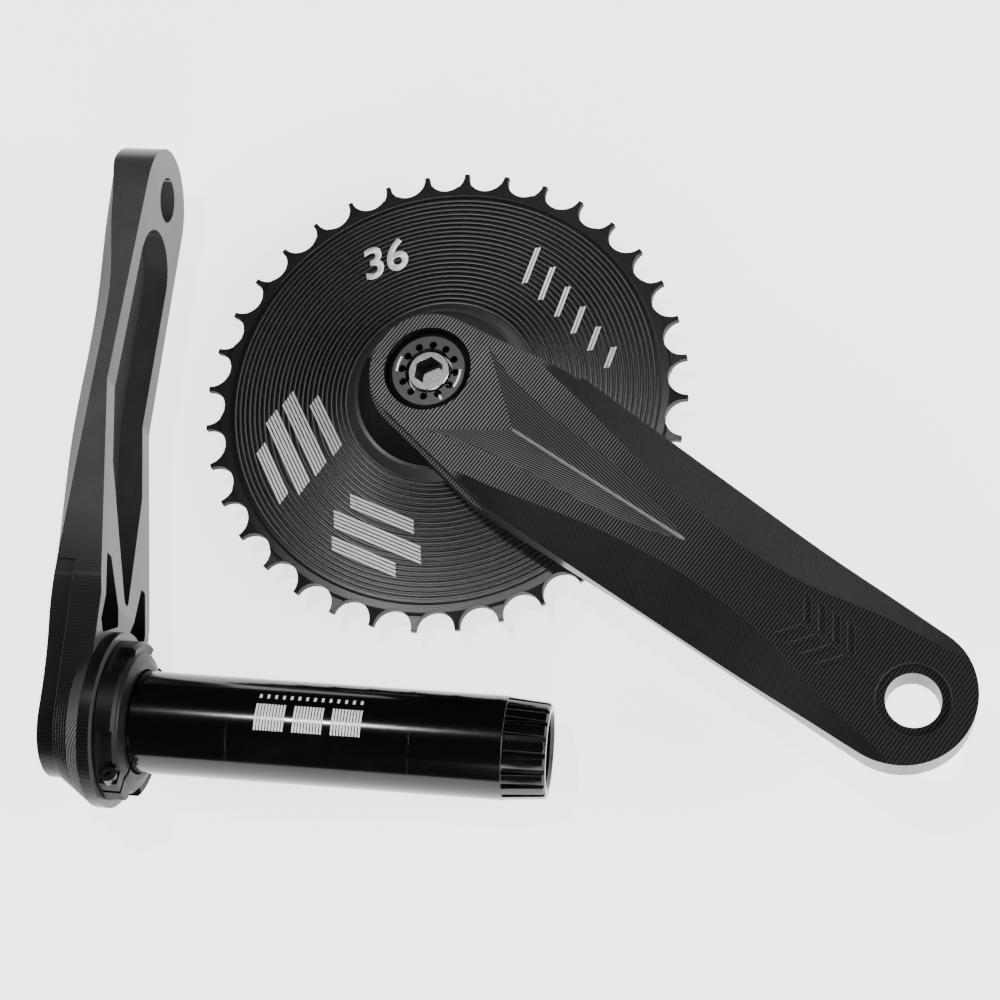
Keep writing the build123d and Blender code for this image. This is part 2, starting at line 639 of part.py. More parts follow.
# ---------------------------------------------------------------- left half
def make_spindle():
    """Hollow spindle: plain journal, and at each end a tapered spline and a thread."""
    left_spline_end = SPINDLE_LEFT_Z - SPLINE_LENGTH
    spigot_clear = SPLINE_CREST_RADIUS - 0.05
    body = rod(SPINDLE_RADIUS, JOURNAL_END, JOURNAL_START)
    body += rod(spigot_clear, JOURNAL_START - SLIVER, left_spline_end)
    body += spline_bar(SPINDLE_TIP_Z, JOURNAL_END, False, 0, SPINDLE_END_CHAMFER)
    body += spline_bar(left_spline_end, SPINDLE_LEFT_Z, True, 0, SPINDLE_END_CHAMFER)
    body -= rod(SPINDLE_THREAD_RADIUS, SPINDLE_TIP_Z - SLIVER, SPINDLE_LEFT_Z + SLIVER)
    chamber_start = SPINDLE_TIP_Z + SPINDLE_THREAD_END
    chamber_end = SPINDLE_LEFT_Z - SPINDLE_THREAD_END
    body -= turned(
        [
            (0, chamber_start),
            (SPINDLE_THREAD_RADIUS, chamber_start),
            (SPINDLE_BORE_RADIUS, chamber_start + 3),
            (SPINDLE_BORE_RADIUS, chamber_end - 3),
            (SPINDLE_THREAD_RADIUS, chamber_end),
            (0, chamber_end),
        ]
    )
    mouth = SPINDLE_TIP_Z + SPINDLE_MOUTH_DEPTH
    return body - turned(
        [
            (0, SPINDLE_TIP_Z - SLIVER),
            (SPINDLE_MOUTH_RADIUS + SLIVER, SPINDLE_TIP_Z - SLIVER),
            (SPINDLE_MOUTH_RADIUS + SLIVER, SPINDLE_TIP_Z),
            (SPINDLE_MOUTH_RADIUS, SPINDLE_TIP_Z + SLIVER),
            (SPINDLE_MOUTH_RADIUS, mouth),
            (SPINDLE_THREAD_RADIUS, mouth + 1.5),
            (0, mouth + 1.5),
        ]
    )


def pinch_plane():
    """Frame of the pinch screw: it crosses the split in one of the adjuster's lugs."""
    angle = math.radians(ADJUSTER_LUG_FIRST - 360 / ADJUSTER_LUGS)
    radial = Vector(math.cos(angle), math.sin(angle), 0)
    along = Vector(-math.sin(angle), math.cos(angle), 0)
    middle = -(ADJUSTER_START + ADJUSTER_END) / 2
    reach = (LEFT_SPIGOT_RADIUS + ADJUSTER_LUG_RADIUS) / 2 + 0.6
    centre = radial * reach + Vector(0, 0, middle)
    return Plane(origin=centre, x_dir=radial, z_dir=along)


def make_adjuster():
    """Split threaded collar with five lugs; turning it takes up bearing play."""
    low, high = -ADJUSTER_END, -ADJUSTER_START
    inner = LEFT_SPIGOT_RADIUS + RUNNING_CLEARANCE
    lip = SPINDLE_RADIUS + 0.5
    collar = turned(
        [
            (lip, low),
            (lip + 1.6, low),
            (ADJUSTER_RADIUS - 1.2, low + 0.8),
            (ADJUSTER_RADIUS, low + 2.0),
            (ADJUSTER_RADIUS, high - 1.2),
            (ADJUSTER_LUG_RADIUS, high - 1.0),
            (ADJUSTER_LUG_RADIUS, high),
            (inner, high),
            (inner, low + ADJUSTER_LIP),
            (lip, low + ADJUSTER_LIP),
        ]
    )
    lug = turned(
        [
            (inner + 0.4, high),
            (inner + 0.4, low + 1.6),
            (ADJUSTER_LUG_RADIUS - 0.9, low + 0.9),
            (ADJUSTER_LUG_RADIUS, low + 1.8),
            (ADJUSTER_LUG_RADIUS, high),
        ],
        start=-ADJUSTER_LUG_ANGLE / 2,
        sweep=ADJUSTER_LUG_ANGLE,
    )
    for index in range(ADJUSTER_LUGS):
        collar += Rot(0, 0, ADJUSTER_LUG_FIRST + index * 360 / ADJUSTER_LUGS) * lug
    frame = pinch_plane().location
    block = frame * Box(4.4, ADJUSTER_END - ADJUSTER_START - 1.4, PINCH_LENGTH + 1.6)
    collar += block - rod(inner, low - SLIVER, high + SLIVER)
    split = frame * Box(14, 2 * ADJUSTER_END, ADJUSTER_SPLIT)
    hole = frame * Cylinder(PINCH_RADIUS + 0.05, 2 * PINCH_LENGTH)
    seat = frame * Pos(0, 0, PINCH_LENGTH) * Cylinder(PINCH_HEAD_RADIUS + 0.15, PINCH_LENGTH)
    return collar - split - hole - seat


def make_pinch_screw():
    """Small socket screw that clamps the adjuster."""
    head_low = PINCH_LENGTH / 2 + 0.05
    head_high = head_low + PINCH_HEAD_LENGTH
    screw = rod(PINCH_HEAD_RADIUS, head_low, head_high)
    screw += rod(PINCH_RADIUS, -PINCH_LENGTH / 2, head_low + 0.1)
    screw -= hexagon(PINCH_HEX, head_high - 1.3, head_high + SLIVER)
    return pinch_plane().location * screw


def make_seal():
    """Flat seal that travels inside the adjuster's lip."""
    low = -ADJUSTER_END + ADJUSTER_LIP + FACE_GAP
    return tube(LEFT_SPIGOT_RADIUS - 0.4, SPINDLE_RADIUS + 0.2, low, low + SEAL_THICKNESS)


# ---------------------------------------------------------------- layout
def drive_place():
    """Drive half face up, standing on the inboard end of its boss."""
    return Pos(0, 0, DRIVE_BOSS_END) * Rot(0, 0, DRIVE_ARM_AZIMUTH)


def left_place():
    """Left half on its side, on the flange's rim, the spindle's tip and the pedal end."""
    tip_radius = SPLINE_TIP_RADIUS - SPINDLE_END_CHAMFER * 0.3
    flange_z = -(FLANGE_FACE - FLANGE_THICKNESS)
    dip = math.asin((FLANGE_RADIUS - tip_radius) / (flange_z - SPINDLE_TIP_Z))
    lean = math.asin((FLANGE_RADIUS - PEDAL_END_RADIUS) / PEDAL_END_X)
    azimuth = math.radians(SPINDLE_AZIMUTH)
    flat = Vector(math.cos(azimuth), math.sin(azimuth), 0)
    side = Vector(-math.sin(azimuth), math.cos(azimuth), 0)
    along = flat * math.cos(dip) - Vector(0, 0, math.sin(dip))
    lifted = flat * math.sin(dip) + Vector(0, 0, math.cos(dip))
    arm = side * math.cos(lean) - lifted * math.sin(lean)
    tip_height = tip_radius * math.cos(dip)
    tip = Vector(SPINDLE_TIP_X, SPINDLE_TIP_Y, tip_height)
    origin = tip + along * SPINDLE_TIP_Z
    return Plane(origin=origin, x_dir=arm, z_dir=-along).location


def settle(nodes):
    """Set the left half on the surface, then centre everything over the origin."""
    left = ("left_", "spindle", "preload_", "adjuster_")
    gap = min(nodes[name].bounding_box().min.Z for name in nodes if name.startswith(left))
    for name in nodes:
        if name.startswith(left):
            nodes[name] = Pos(0, 0, -gap) * nodes[name]
    boxes = [shape.bounding_box() for shape in nodes.values()]
    middle_x = (min(box.min.X for box in boxes) + max(box.max.X for box in boxes)) / 2
    middle_y = (min(box.min.Y for box in boxes) + max(box.max.Y for box in boxes)) / 2
    return {name: Pos(-middle_x, -middle_y, 0) * shape for name, shape in nodes.items()}


def build():
    """Every node, placed in the row frame."""
    drive, left = drive_place(), left_place()
    nodes = {
        "drive_arm": drive * make_drive_arm(),
        "chainring": drive * make_chainring(),
        "crank_bolt": drive * make_crank_bolt(),
        "bolt_washer": drive * make_bolt_washer(),
        "extractor_washer": drive * make_extractor_washer(),
        "extractor_cap": drive * make_extractor_cap(),
        "left_arm": left * make_left_arm(),
        "spindle": left * make_spindle(),
        "left_bolt": left * make_crank_bolt(),
        "left_bolt_washer": left * make_bolt_washer(),
        "left_extractor_washer": left * make_extractor_washer(),
        "left_extractor_cap": left * make_extractor_cap(),
        "preload_adjuster": left * make_adjuster(),
        "adjuster_pinch_screw": left * make_pinch_screw(),
        "adjuster_seal": left * make_seal(),
    }
    for index, (x, y) in enumerate(ring_bolt_places(), start=1):
        nodes[f"chainring_bolt_{index}"] = drive * make_ring_bolt(x, y)
    return settle(nodes)


os.makedirs("parts", exist_ok=True)
for name, shape in build().items():
    export_step(shape, f"parts/{name}.step")
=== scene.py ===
"""Bicycle crankset: finishes for the machined parts with painted light and shade, printed marks, and a small
studio.
"""

import json
import math

import bpy
from mathutils import Matrix, Vector


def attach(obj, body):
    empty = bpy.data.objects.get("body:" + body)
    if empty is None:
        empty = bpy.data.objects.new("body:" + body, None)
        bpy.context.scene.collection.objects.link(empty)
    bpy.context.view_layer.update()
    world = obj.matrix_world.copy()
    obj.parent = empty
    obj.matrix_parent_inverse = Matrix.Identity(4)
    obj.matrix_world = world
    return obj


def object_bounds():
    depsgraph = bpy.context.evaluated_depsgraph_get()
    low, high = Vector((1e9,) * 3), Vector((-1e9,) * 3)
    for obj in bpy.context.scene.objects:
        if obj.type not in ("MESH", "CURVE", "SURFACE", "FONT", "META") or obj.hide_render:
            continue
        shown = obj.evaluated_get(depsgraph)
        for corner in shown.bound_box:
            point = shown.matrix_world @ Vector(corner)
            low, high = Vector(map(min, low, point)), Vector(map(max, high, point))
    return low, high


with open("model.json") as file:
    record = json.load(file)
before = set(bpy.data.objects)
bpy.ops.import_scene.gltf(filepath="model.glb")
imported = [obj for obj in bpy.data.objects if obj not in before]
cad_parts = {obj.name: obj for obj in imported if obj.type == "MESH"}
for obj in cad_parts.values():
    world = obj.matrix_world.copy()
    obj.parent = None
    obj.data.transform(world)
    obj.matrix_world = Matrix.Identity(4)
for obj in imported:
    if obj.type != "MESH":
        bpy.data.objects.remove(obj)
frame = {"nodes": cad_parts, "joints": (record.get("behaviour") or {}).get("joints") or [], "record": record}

bl_info = {
    "name": "Bicycle Crankset",
    "version": (1, 0, 0),
    "blender": (4, 5, 0),
    "location": "View3D > Sidebar > Crankset",
    "description": "Finishes, printed marks and studio for a two-piece bicycle crankset",
    "category": "Object",
}

CAD_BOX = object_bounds()
MM = 0.001

ROW = frame["record"]
JOINTS = {joint["name"]: joint for joint in frame["joints"]}
MOUNTS = {mount["name"]: mount for mount in ROW["mounts"]}

BOLT_NODES = ("crank_bolt", "left_bolt")
CAP_NODES = ("extractor_cap", "left_extractor_cap")
STEEL_WASHERS = ("bolt_washer", "left_bolt_washer")
NYLON_WASHERS = ("extractor_washer", "left_extractor_washer")
RING_BOLTS = ("chainring_bolt_1", "chainring_bolt_2", "chainring_bolt_3")


class Axes:
    """A part's own origin and directions in the row frame."""

    def __init__(self, origin, x, z):
        self.origin = Vector(origin)
        self.z = Vector(z).normalized()
        along = Vector(x)
        self.x = (along - self.z * along.dot(self.z)).normalized()
        self.y = self.z.cross(self.x)

    def point(self, x, y, z):
        """A place given in millimetres along the part's own directions."""
        return self.origin + (self.x * x + self.y * y + self.z * z) * MM

    def matrix(self, x, y, z, turn=0.0):
        """A transform that puts a flat piece down at a place, turned about the z direction."""
        rows = Matrix((self.x, self.y, self.z)).transposed().to_4x4()
        return Matrix.Translation(self.point(x, y, z)) @ rows @ Matrix.Rotation(turn, 4, "Z")


def mount_axes(joint, mount):
    """Axes of an arm, from its crank bolt's joint towards its pedal thread."""
    start = Vector(JOINTS[joint]["pos_m"])
    end = Vector(MOUNTS[mount]["pos_m"])
    return Axes(start, end - start, MOUNTS[mount]["axis"])


DRIVE_ARM = mount_axes("crank_bolt_turn", "drive_pedal_thread")
LEFT_ARM = mount_axes("left_bolt_turn", "left_pedal_thread")
RING_THICKNESS = 0.004
RING_PLACE = MOUNTS["chain"]["pos_m"]
RING_TOP = RING_PLACE[2] + RING_THICKNESS / 2
RING = Axes((RING_PLACE[0], RING_PLACE[1], RING_TOP), (1, 0, 0), (0, 0, 1))
JOURNAL = MOUNTS["spindle_journal"]
JOURNAL_AXIS = Vector(JOURNAL["axis"]).normalized()
SPINDLE_UP = Vector((0, 0, 1)) - JOURNAL_AXIS * JOURNAL_AXIS.z
SPINDLE = Axes(JOURNAL["pos_m"], JOURNAL_AXIS, SPINDLE_UP)
SPINDLE_RADIUS = JOURNAL["dims"]["r_mm"]

# Millimetres from a part's own origin
# Painted highlight: a bright line is painted along the bottom of the arm's recess from this place outwards.
VALLEY_HIGHLIGHT_START = 32.0           # bright line along the bottom of the arm's recess
SEAM_PLACES = (-24.3, 26.8)   # turned seams along the spindle
SEAM_HALF_WIDTH = 0.18
TURNING_PITCH = 0.42
MARK_WALL = 0.02
HUB_EDGE = 29.4               # ring's hub cone meets its grooves
BAND_EDGE = 66.5              # ring's grooves meet the plain band under the teeth

# The camera's place from the crank bolt and the ring's middle, and its directions
CAMERA_OFFSET = (0.115551, -0.213056, 0.484627)
CAMERA_FORWARD = (-0.18541, 0.33808, -0.92267)
CAMERA_RIGHT = (0.98076, 0.00529, -0.19515)
FLOOR_SIZE = 30.0
FLOOR_DROP = 0.0002
REFLECTED_SURROUND = 0.04
LAMPS = (
    ("key_overhead", (-0.190, 0.272, 1.265), (0.07, 0.07), None),   # power in the settings
    ("box_right", (1.35, -0.25, 0.50), (0.8, 0.8), 40.0),
    ("box_left", (-1.30, -0.15, 0.42), (0.6, 0.7), 26.0),
    ("box_front", (0.3, -1.35, 0.70), (0.9, 0.6), 13.0),
)

# Chainring bars: turn, then place along and across, width and length in the turned axes
RING_BARS = (
    (2.02, 8.0, 36.0, 5.0, 19.0),
    (2.02, 9.0, 43.0, 5.6, 27.0),
    (2.02, 6.0, 50.0, 5.6, 27.0),
    (2.02, 2.0, 57.0, 5.0, 19.0),
    (-0.45, 1.0, -42.0, 5.0, 22.0),
    (-0.45, 3.0, -49.0, 5.6, 30.0),
    (-0.45, 2.0, -56.0, 5.0, 22.0),
)
RING_DASHES = 6
SPINDLE_BLOCKS = 3
SPINDLE_DASHES = 14
CAP_ARCS = (                  # inner and outer radius, start and end in degrees, steps
    (9.3, 10.0, 2, 36, 24),
    (9.3, 10.0, 187, 216, 24),
    (8.9, 10.4, -30, -26, 4),
)

# Sockets of the mix node's colours
MIX_LOW = 6
MIX_HIGH = 7
MIX_RESULT = 2


# ---------------------------------------------------------------- shader helpers
class Finish:
    """Builds one material's node tree."""

    def __init__(self, name):
        self.material = bpy.data.materials.new(name)
        self.material.use_nodes = True
        self.tree = self.material.node_tree
        self.tree.nodes.clear()
        self.shader = self.add("ShaderNodeBsdfPrincipled")
        output = self.add("ShaderNodeOutputMaterial")
        self.link(self.shader.outputs["BSDF"], output.inputs["Surface"])
        self.place = self.add("ShaderNodeTexCoord")

    def add(self, kind):
        """Adds a node."""
        return self.tree.nodes.new(kind)

    def link(self, source, target):
        """Links two sockets."""
        self.tree.links.new(source, target)

    def feed(self, socket, value):
        """Links a socket into an input, or sets its number or colour."""
        if isinstance(value, bpy.types.NodeSocket):
            self.link(value, socket)
        elif isinstance(value, (tuple, list)) and len(socket.default_value) == 4:
            socket.default_value = (*value[:3], 1.0)
        else:
            socket.default_value = value

    def calc(self, operation, a, b=0.0, c=0.0):
        """One step of arithmetic."""
        node = self.add("ShaderNodeMath")
        node.operation = operation
        for socket, value in zip(node.inputs, (a, b, c)):
            self.feed(socket, value)
        return node.outputs[0]

    def vector(self, operation, a, b=(0.0, 0.0, 0.0)):
        """One step of vector arithmetic."""
        node = self.add("ShaderNodeVectorMath")
        node.operation = operation
        self.feed(node.inputs[0], a)
        self.feed(node.inputs[1], b)
        return node.outputs["Value" if operation == "DOT_PRODUCT" else "Vector"]

    def span(self, value, low, high):
        """Maps low..high onto 0..1, eased at both ends."""
        node = self.add("ShaderNodeMapRange")
        node.interpolation_type = "SMOOTHSTEP"
        self.feed(node.inputs["Value"], value)
        node.inputs["From Min"].default_value = low
        node.inputs["From Max"].default_value = high
        return node.outputs["Result"]

    def blend(self, share, low, high):
        """Mixes two colours."""
        node = self.add("ShaderNodeMix")
        node.data_type = "RGBA"
        self.feed(node.inputs["Factor"], share)
        self.feed(node.inputs[MIX_LOW], low)
        self.feed(node.inputs[MIX_HIGH], high)
        return node.outputs[MIX_RESULT]

    def scale(self, share, low, high):
        """Mixes two numbers."""
        return self.calc("MULTIPLY_ADD", share, high - low, low)

    def offset(self, axes):
        """Place on the part, measured from its own origin."""
        return self.vector("SUBTRACT", self.place.outputs["Object"], tuple(axes.origin))

    def measure(self, offset, direction):
        """Millimetres along a direction."""
        along = self.vector("DOT_PRODUCT", offset, tuple(direction))
        return self.calc("DIVIDE", along, MM)

    def radius(self, offset, axes):
        """Millimetres from a part's own z axis."""
        x = self.measure(offset, axes.x)
        y = self.measure(offset, axes.y)
        square = self.calc("ADD", self.calc("MULTIPLY", x, x), self.calc("MULTIPLY", y, y))
        return self.calc("SQRT", square)

    def facing(self, direction):
        """How far the surface faces a direction, from -1 to 1."""
        return self.vector("DOT_PRODUCT", self.place.outputs["Normal"], tuple(direction))

    def lines(self, value, pitch):
        """Even lines, 0 to 1, a pitch apart in millimetres."""
        wave = self.calc("SINE", self.calc("MULTIPLY", value, math.tau / pitch))
        return self.span(wave, -0.55, 0.75)

    def noise(self, scale, detail=3.0, roughness=0.6):
        """Fine variation in the part's own space."""
        node = self.add("ShaderNodeTexNoise")
        node.inputs["Scale"].default_value = scale
        node.inputs["Detail"].default_value = detail
        node.inputs["Roughness"].default_value = roughness
        self.link(self.place.outputs["Object"], node.inputs["Vector"])
        return node.outputs["Fac"]

    def edge(self, radius):
        """1 on a sharp edge and 0 on open surface, with the rounded normal; callers paint these edges
        lighter as wear and as a painted highlight.
        """
        node = self.add("ShaderNodeBevel")
        node.samples = 4
        node.inputs["Radius"].default_value = radius * MM
        flat = self.add("ShaderNodeNewGeometry")
        match = self.vector("DOT_PRODUCT", node.outputs["Normal"], flat.outputs["Normal"])
        return self.span(match, 0.995, 0.9), node.outputs["Normal"]

    def bump(self, height, depth, strength=0.5, normal=None):
        """Turns a height into a surface normal."""
        node = self.add("ShaderNodeBump")
        node.inputs["Strength"].default_value = strength
        node.inputs["Distance"].default_value = depth * MM
        self.feed(node.inputs["Height"], height)
        if normal is not None:
            self.link(normal, node.inputs["Normal"])
        self.link(node.outputs["Normal"], self.shader.inputs["Normal"])

    def gloss(self, colour, roughness, metallic=0.0, specular=0.5):
        """Sets the shader's colour and gloss."""
        self.feed(self.shader.inputs["Base Color"], colour)
        self.feed(self.shader.inputs["Roughness"], roughness)
        self.shader.inputs["Metallic"].default_value = metallic
        self.shader.inputs["Specular IOR Level"].default_value = specular


def grey(value):
    """A neutral colour."""
    return (value, value, value, 1.0)


def dress(name, material):
    """Puts a material in every slot of a part."""
    part = frame["nodes"][name]
    if not part.material_slots:
        part.data.materials.append(material)
    for slot in part.material_slots:
        slot.material = material


# ---------------------------------------------------------------- finishes
def arm_finish(name, axes, settings, upper_lines):
    """Black anodised arm with cutter lines that change direction from facet to facet, and painted light:
    facets painted lighter or darker by how light falls on them, and painted highlights on the lines.
    """
    made = Finish(name)
    offset = made.offset(axes)
    x = made.measure(offset, axes.x)
    y = made.measure(offset, axes.y)
    across = made.facing(axes.y)
    outward = made.facing(axes.z)
    side = made.calc("SIGN", y)
    slope = made.calc("MULTIPLY", across, side)
    is_bevel = made.span(slope, 0.12, 0.2)
    is_dart = made.span(slope, -0.05, -0.1)
    is_wall = made.span(outward, 0.45, 0.3)
    is_inner = made.span(outward, -0.6, -0.8)
    is_lower = made.span(y, 2.0, -2.0)

    pitch = settings.cutter_pitch / MM
    from_middle = made.calc("ABSOLUTE", y)
    tooling = made.lines(x, pitch)
    slant = made.calc("MULTIPLY", made.calc("ADD", x, y), math.sqrt(0.5))
    bevel_lines = made.lines(slant, pitch * 0.7)
    reach = made.calc("MULTIPLY_ADD", x, 0.17, from_middle)
    dart_lines = made.lines(reach, pitch * 0.75)

    grain = made.noise(900.0, 2.0)
    cloud = made.noise(38.0, 3.0)
    # Painted highlight: the crest's cutter lines are painted much brighter near the boss, where light glints
    # off them.
    highlight_near_boss = made.span(x, 125.0, 5.0)
    crest_painted_highlight = made.blend(highlight_near_boss, grey(0.018), grey(0.15))
    crest = made.blend(tooling, grey(0.0008), crest_painted_highlight)
    # Painted light and shade: the bevel on the lower side is painted darker than the bevel on the upper
    # side, as the light falls.
    shaded_lower_bevel = made.blend(bevel_lines, grey(0.0005), grey(0.008))
    if upper_lines:
        lit_upper_bevel = made.blend(bevel_lines, grey(0.006), grey(0.024))
    else:
        lit_upper_bevel = made.blend(grain, grey(0.010), grey(0.024))
    bevel = made.blend(is_lower, lit_upper_bevel, shaded_lower_bevel)
    # Painted light: the recess's lines are painted as bright highlights between dark lines, and both are
    # painted lighter on the lower side, where the light falls.
    dart_line_shade = made.blend(is_lower, grey(0.002), grey(0.010))
    dart_line_highlight = made.blend(is_lower, grey(0.060), grey(0.140))
    dart = made.blend(dart_lines, dart_line_shade, dart_line_highlight)
    # Painted highlight: a bright line painted along the bottom of the recess.
    valley_highlight = made.calc("MULTIPLY", made.span(from_middle, 0.55, 0.25), is_dart)
    past_back = made.span(x, VALLEY_HIGHLIGHT_START - 1.0, VALLEY_HIGHLIGHT_START + 1.0)
    valley_highlight = made.calc("MULTIPLY", valley_highlight, past_back)
    # Painted shade: the side wall is painted much darker near the boss, where the boss keeps the light off
    # it.
    boss_wall_painted_shade = made.blend(tooling, grey(0.001), grey(0.006))
    # Painted reflection: the side wall and, below, the inner face are painted a lighter grey than the black
    # crest, where they reflect the pale floor and lamps.
    wall = made.blend(grain, grey(0.038), grey(0.052))
    wall = made.blend(made.span(x, 62.0, 30.0), wall, boss_wall_painted_shade)
    inner = made.blend(grain, grey(0.03), grey(0.04))

    colour = made.blend(is_bevel, crest, bevel)
    colour = made.blend(is_dart, colour, dart)
    colour = made.blend(is_wall, colour, wall)
    colour = made.blend(is_inner, colour, inner)
    dulled = made.blend(0.5, colour, grey(0.012))
    colour = made.blend(made.span(cloud, 0.2, 0.9), colour, dulled)
    colour = made.blend(valley_highlight, colour, grey(0.20))
    # Edge wear and painted highlight: sharp edges are painted lighter, partly as worn anodising and partly
    # as a painted highlight along them.
    wear_and_glint, rounded = made.edge(settings.edge_radius / MM)
    wear_and_glint_share = made.calc("MULTIPLY", wear_and_glint, settings.edge_wear)
    colour = made.blend(wear_and_glint_share, colour, grey(0.08))

    height = made.blend(is_bevel, tooling, bevel_lines)
    height = made.blend(is_dart, height, dart_lines)
    height = made.blend(is_wall, height, grain)
    made.bump(height, 0.03, 0.35, rounded)
    rough = made.scale(height, 0.75, settings.roughness)
    polish = made.calc("MAXIMUM", is_wall, is_inner)
    change = made.calc("SUBTRACT", settings.wall_roughness, rough)
    rough = made.calc("ADD", rough, made.calc("MULTIPLY", polish, change))
    rough = made.calc("MULTIPLY_ADD", cloud, 0.06, rough)
    made.gloss(colour, rough, 0.0, 0.12)
    return made.material


def ring_finish(settings):
    """Black anodised plate turned in a lathe, with its grooves and hub cone painted lighter than its lands
    as a painted sheen.
    """
    made = Finish("ring_black_turned")
    offset = made.offset(RING)
    z = made.measure(offset, RING.z)
    radius = made.radius(offset, RING)
    turning = made.lines(radius, TURNING_PITCH)
    inside_band = made.span(radius, BAND_EDGE + 1.0, BAND_EDGE - 0.5)
    is_groove = made.calc("MULTIPLY", made.span(z, -0.15, -0.4), inside_band)
    is_hub = made.span(radius, HUB_EDGE + 0.2, HUB_EDGE - 0.2)
    is_band = made.span(radius, BAND_EDGE - 0.3, BAND_EDGE + 0.3)
    is_wall = made.span(made.facing(RING.z), 0.5, 0.3)
    grain = made.noise(700.0, 2.0)

    land = made.blend(turning, grey(0.003), grey(0.008))
    # Painted sheen: the groove walls are painted a light grey against the black lands, as light catches
    # their slopes.
    groove_painted_sheen = made.blend(turning, grey(0.14), grey(0.24))
    band = made.blend(grain, grey(0.012), grey(0.020))
    # Painted sheen: the smooth hub cone is painted lighter than the black lands.
    hub_painted_sheen = made.blend(turning, grey(0.02), grey(0.05))
    colour = made.blend(is_groove, land, groove_painted_sheen)
    colour = made.blend(is_band, colour, band)
    colour = made.blend(is_hub, colour, hub_painted_sheen)
    colour = made.blend(is_wall, colour, made.blend(grain, grey(0.002), grey(0.006)))
    # Edge wear and painted highlight: sharp edges are painted a little lighter.
    wear_and_glint, rounded = made.edge(settings.edge_radius / MM)
    wear_and_glint_share = made.calc("MULTIPLY", wear_and_glint, settings.edge_wear * 0.4)
    colour = made.blend(wear_and_glint_share, colour, grey(0.05))

    tangent = made.add("ShaderNodeTangent")
    tangent.direction_type = "RADIAL"
    tangent.axis = "Z"
    made.link(tangent.outputs["Tangent"], made.shader.inputs["Tangent"])
    made.bump(turning, 0.01, 0.25, rounded)
    groove_rough = made.scale(is_groove, 0.27, 0.5)
    wall_rough = made.scale(is_wall, 0.27, 0.6)
    made.gloss(colour, made.calc("MAXIMUM", groove_rough, wall_rough), 0.0, 0.22)
    made.shader.inputs["Anisotropic"].default_value = 0.95
    made.shader.inputs["Anisotropic Rotation"].default_value = 0.0
    return made.material


def spindle_finish(settings):
    """Gloss black tube with faint turning marks and two fine seams."""
    made = Finish("spindle_black_gloss")
    offset = made.offset(SPINDLE)
    along = made.measure(offset, SPINDLE.x)
    turning = made.lines(along, 0.6)
    cloud = made.noise(60.0, 4.0)
    haze = made.noise(500.0, 2.0)
    colour = made.blend(turning, grey(0.001), grey(0.0025))
    near, far = [
        made.calc(
            "LESS_THAN",
            made.calc("ABSOLUTE", made.calc("SUBTRACT", along, seam)),
            SEAM_HALF_WIDTH,
        )
        for seam in SEAM_PLACES
    ]
    seams = made.calc("MAXIMUM", near, far)
    colour = made.blend(made.span(cloud, 0.45, 0.8), colour, grey(0.004))
    # Edge wear and painted highlight: sharp edges are painted lighter.
    wear_and_glint, rounded = made.edge(settings.edge_radius / MM)
    colour = made.blend(made.calc("MULTIPLY", wear_and_glint, settings.edge_wear), colour, grey(0.06))
    depth = made.calc("MULTIPLY_ADD", turning, 0.04, made.calc("SUBTRACT", 1.0, seams))
    made.bump(depth, 0.1, 0.4, rounded)
    made.gloss(colour, made.scale(haze, 0.10, 0.15), 0.0, 0.35)
    return made.material


def turned_finish(name, axes, low, high, roughness, metallic, pitch=0.5):
    """Small turned part: rings round its axis, fine grain, and broken edges painted lighter as wear and as a
    painted highlight.
    """
    made = Finish(name)
    turning = made.lines(made.radius(made.offset(axes), axes), pitch)
    grain = made.noise(1200.0, 3.0)
    share = made.calc("MULTIPLY_ADD", grain, 0.25, made.calc("MULTIPLY", turning, 0.75))
    colour = made.blend(share, grey(low), grey(high))
    wear_and_glint, rounded = made.edge(0.1)
    # Edge wear and painted highlight: broken edges are painted lighter.
    colour = made.blend(made.calc("MULTIPLY", wear_and_glint, 0.5), colour, grey(min(high * 2.0, 0.9)))
    made.bump(turning, 0.003, 0.15, rounded)
    made.gloss(colour, made.scale(grain, roughness - 0.06, roughness + 0.08), metallic)
    return made.material


def moulded_finish(name, low, high, roughness):
    """Moulded plastic or rubber: fine pebble and slow variation in tone."""
    made = Finish(name)
    pebble = made.noise(1500.0, 3.0, 0.7)
    cloud = made.noise(90.0, 3.0)
    share = made.calc("MULTIPLY_ADD", pebble, 0.6, made.calc("MULTIPLY", cloud, 0.4))
    wear_and_glint, rounded = made.edge(0.2)
    colour = made.blend(share, grey(low), grey(high))
    # Edge wear and painted highlight: sharp edges are painted lighter.
    colour = made.blend(made.calc("MULTIPLY", wear_and_glint, 0.4), colour, grey(high * 3.0))
    made.bump(pebble, 0.03, 0.4, rounded)
    made.gloss(colour, made.scale(cloud, roughness - 0.06, roughness + 0.08), 0.0, 0.12)
    return made.material


def mark_finish(name, tone):
    """Etched white mark with a slightly broken, grainy surface."""
    made = Finish(name)
    grain = made.noise(1400.0, 3.0)
    cloud = made.noise(120.0, 3.0)
    share = made.calc("MULTIPLY_ADD", grain, 0.5, made.calc("MULTIPLY", cloud, 0.5))
    made.bump(grain, 0.01, 0.3)
    made.gloss(made.blend(share, grey(tone * 0.72), grey(tone)), 0.55, 0.0, 0.3)
    return made.material


# ---------------------------------------------------------------- modelling helpers
def clear_selection():
    """Deselects everything, in object mode."""
    if bpy.context.object is not None and bpy.context.object.mode != "OBJECT":
        bpy.ops.object.mode_set(mode="OBJECT")
    bpy.ops.object.select_all(action="DESELECT")


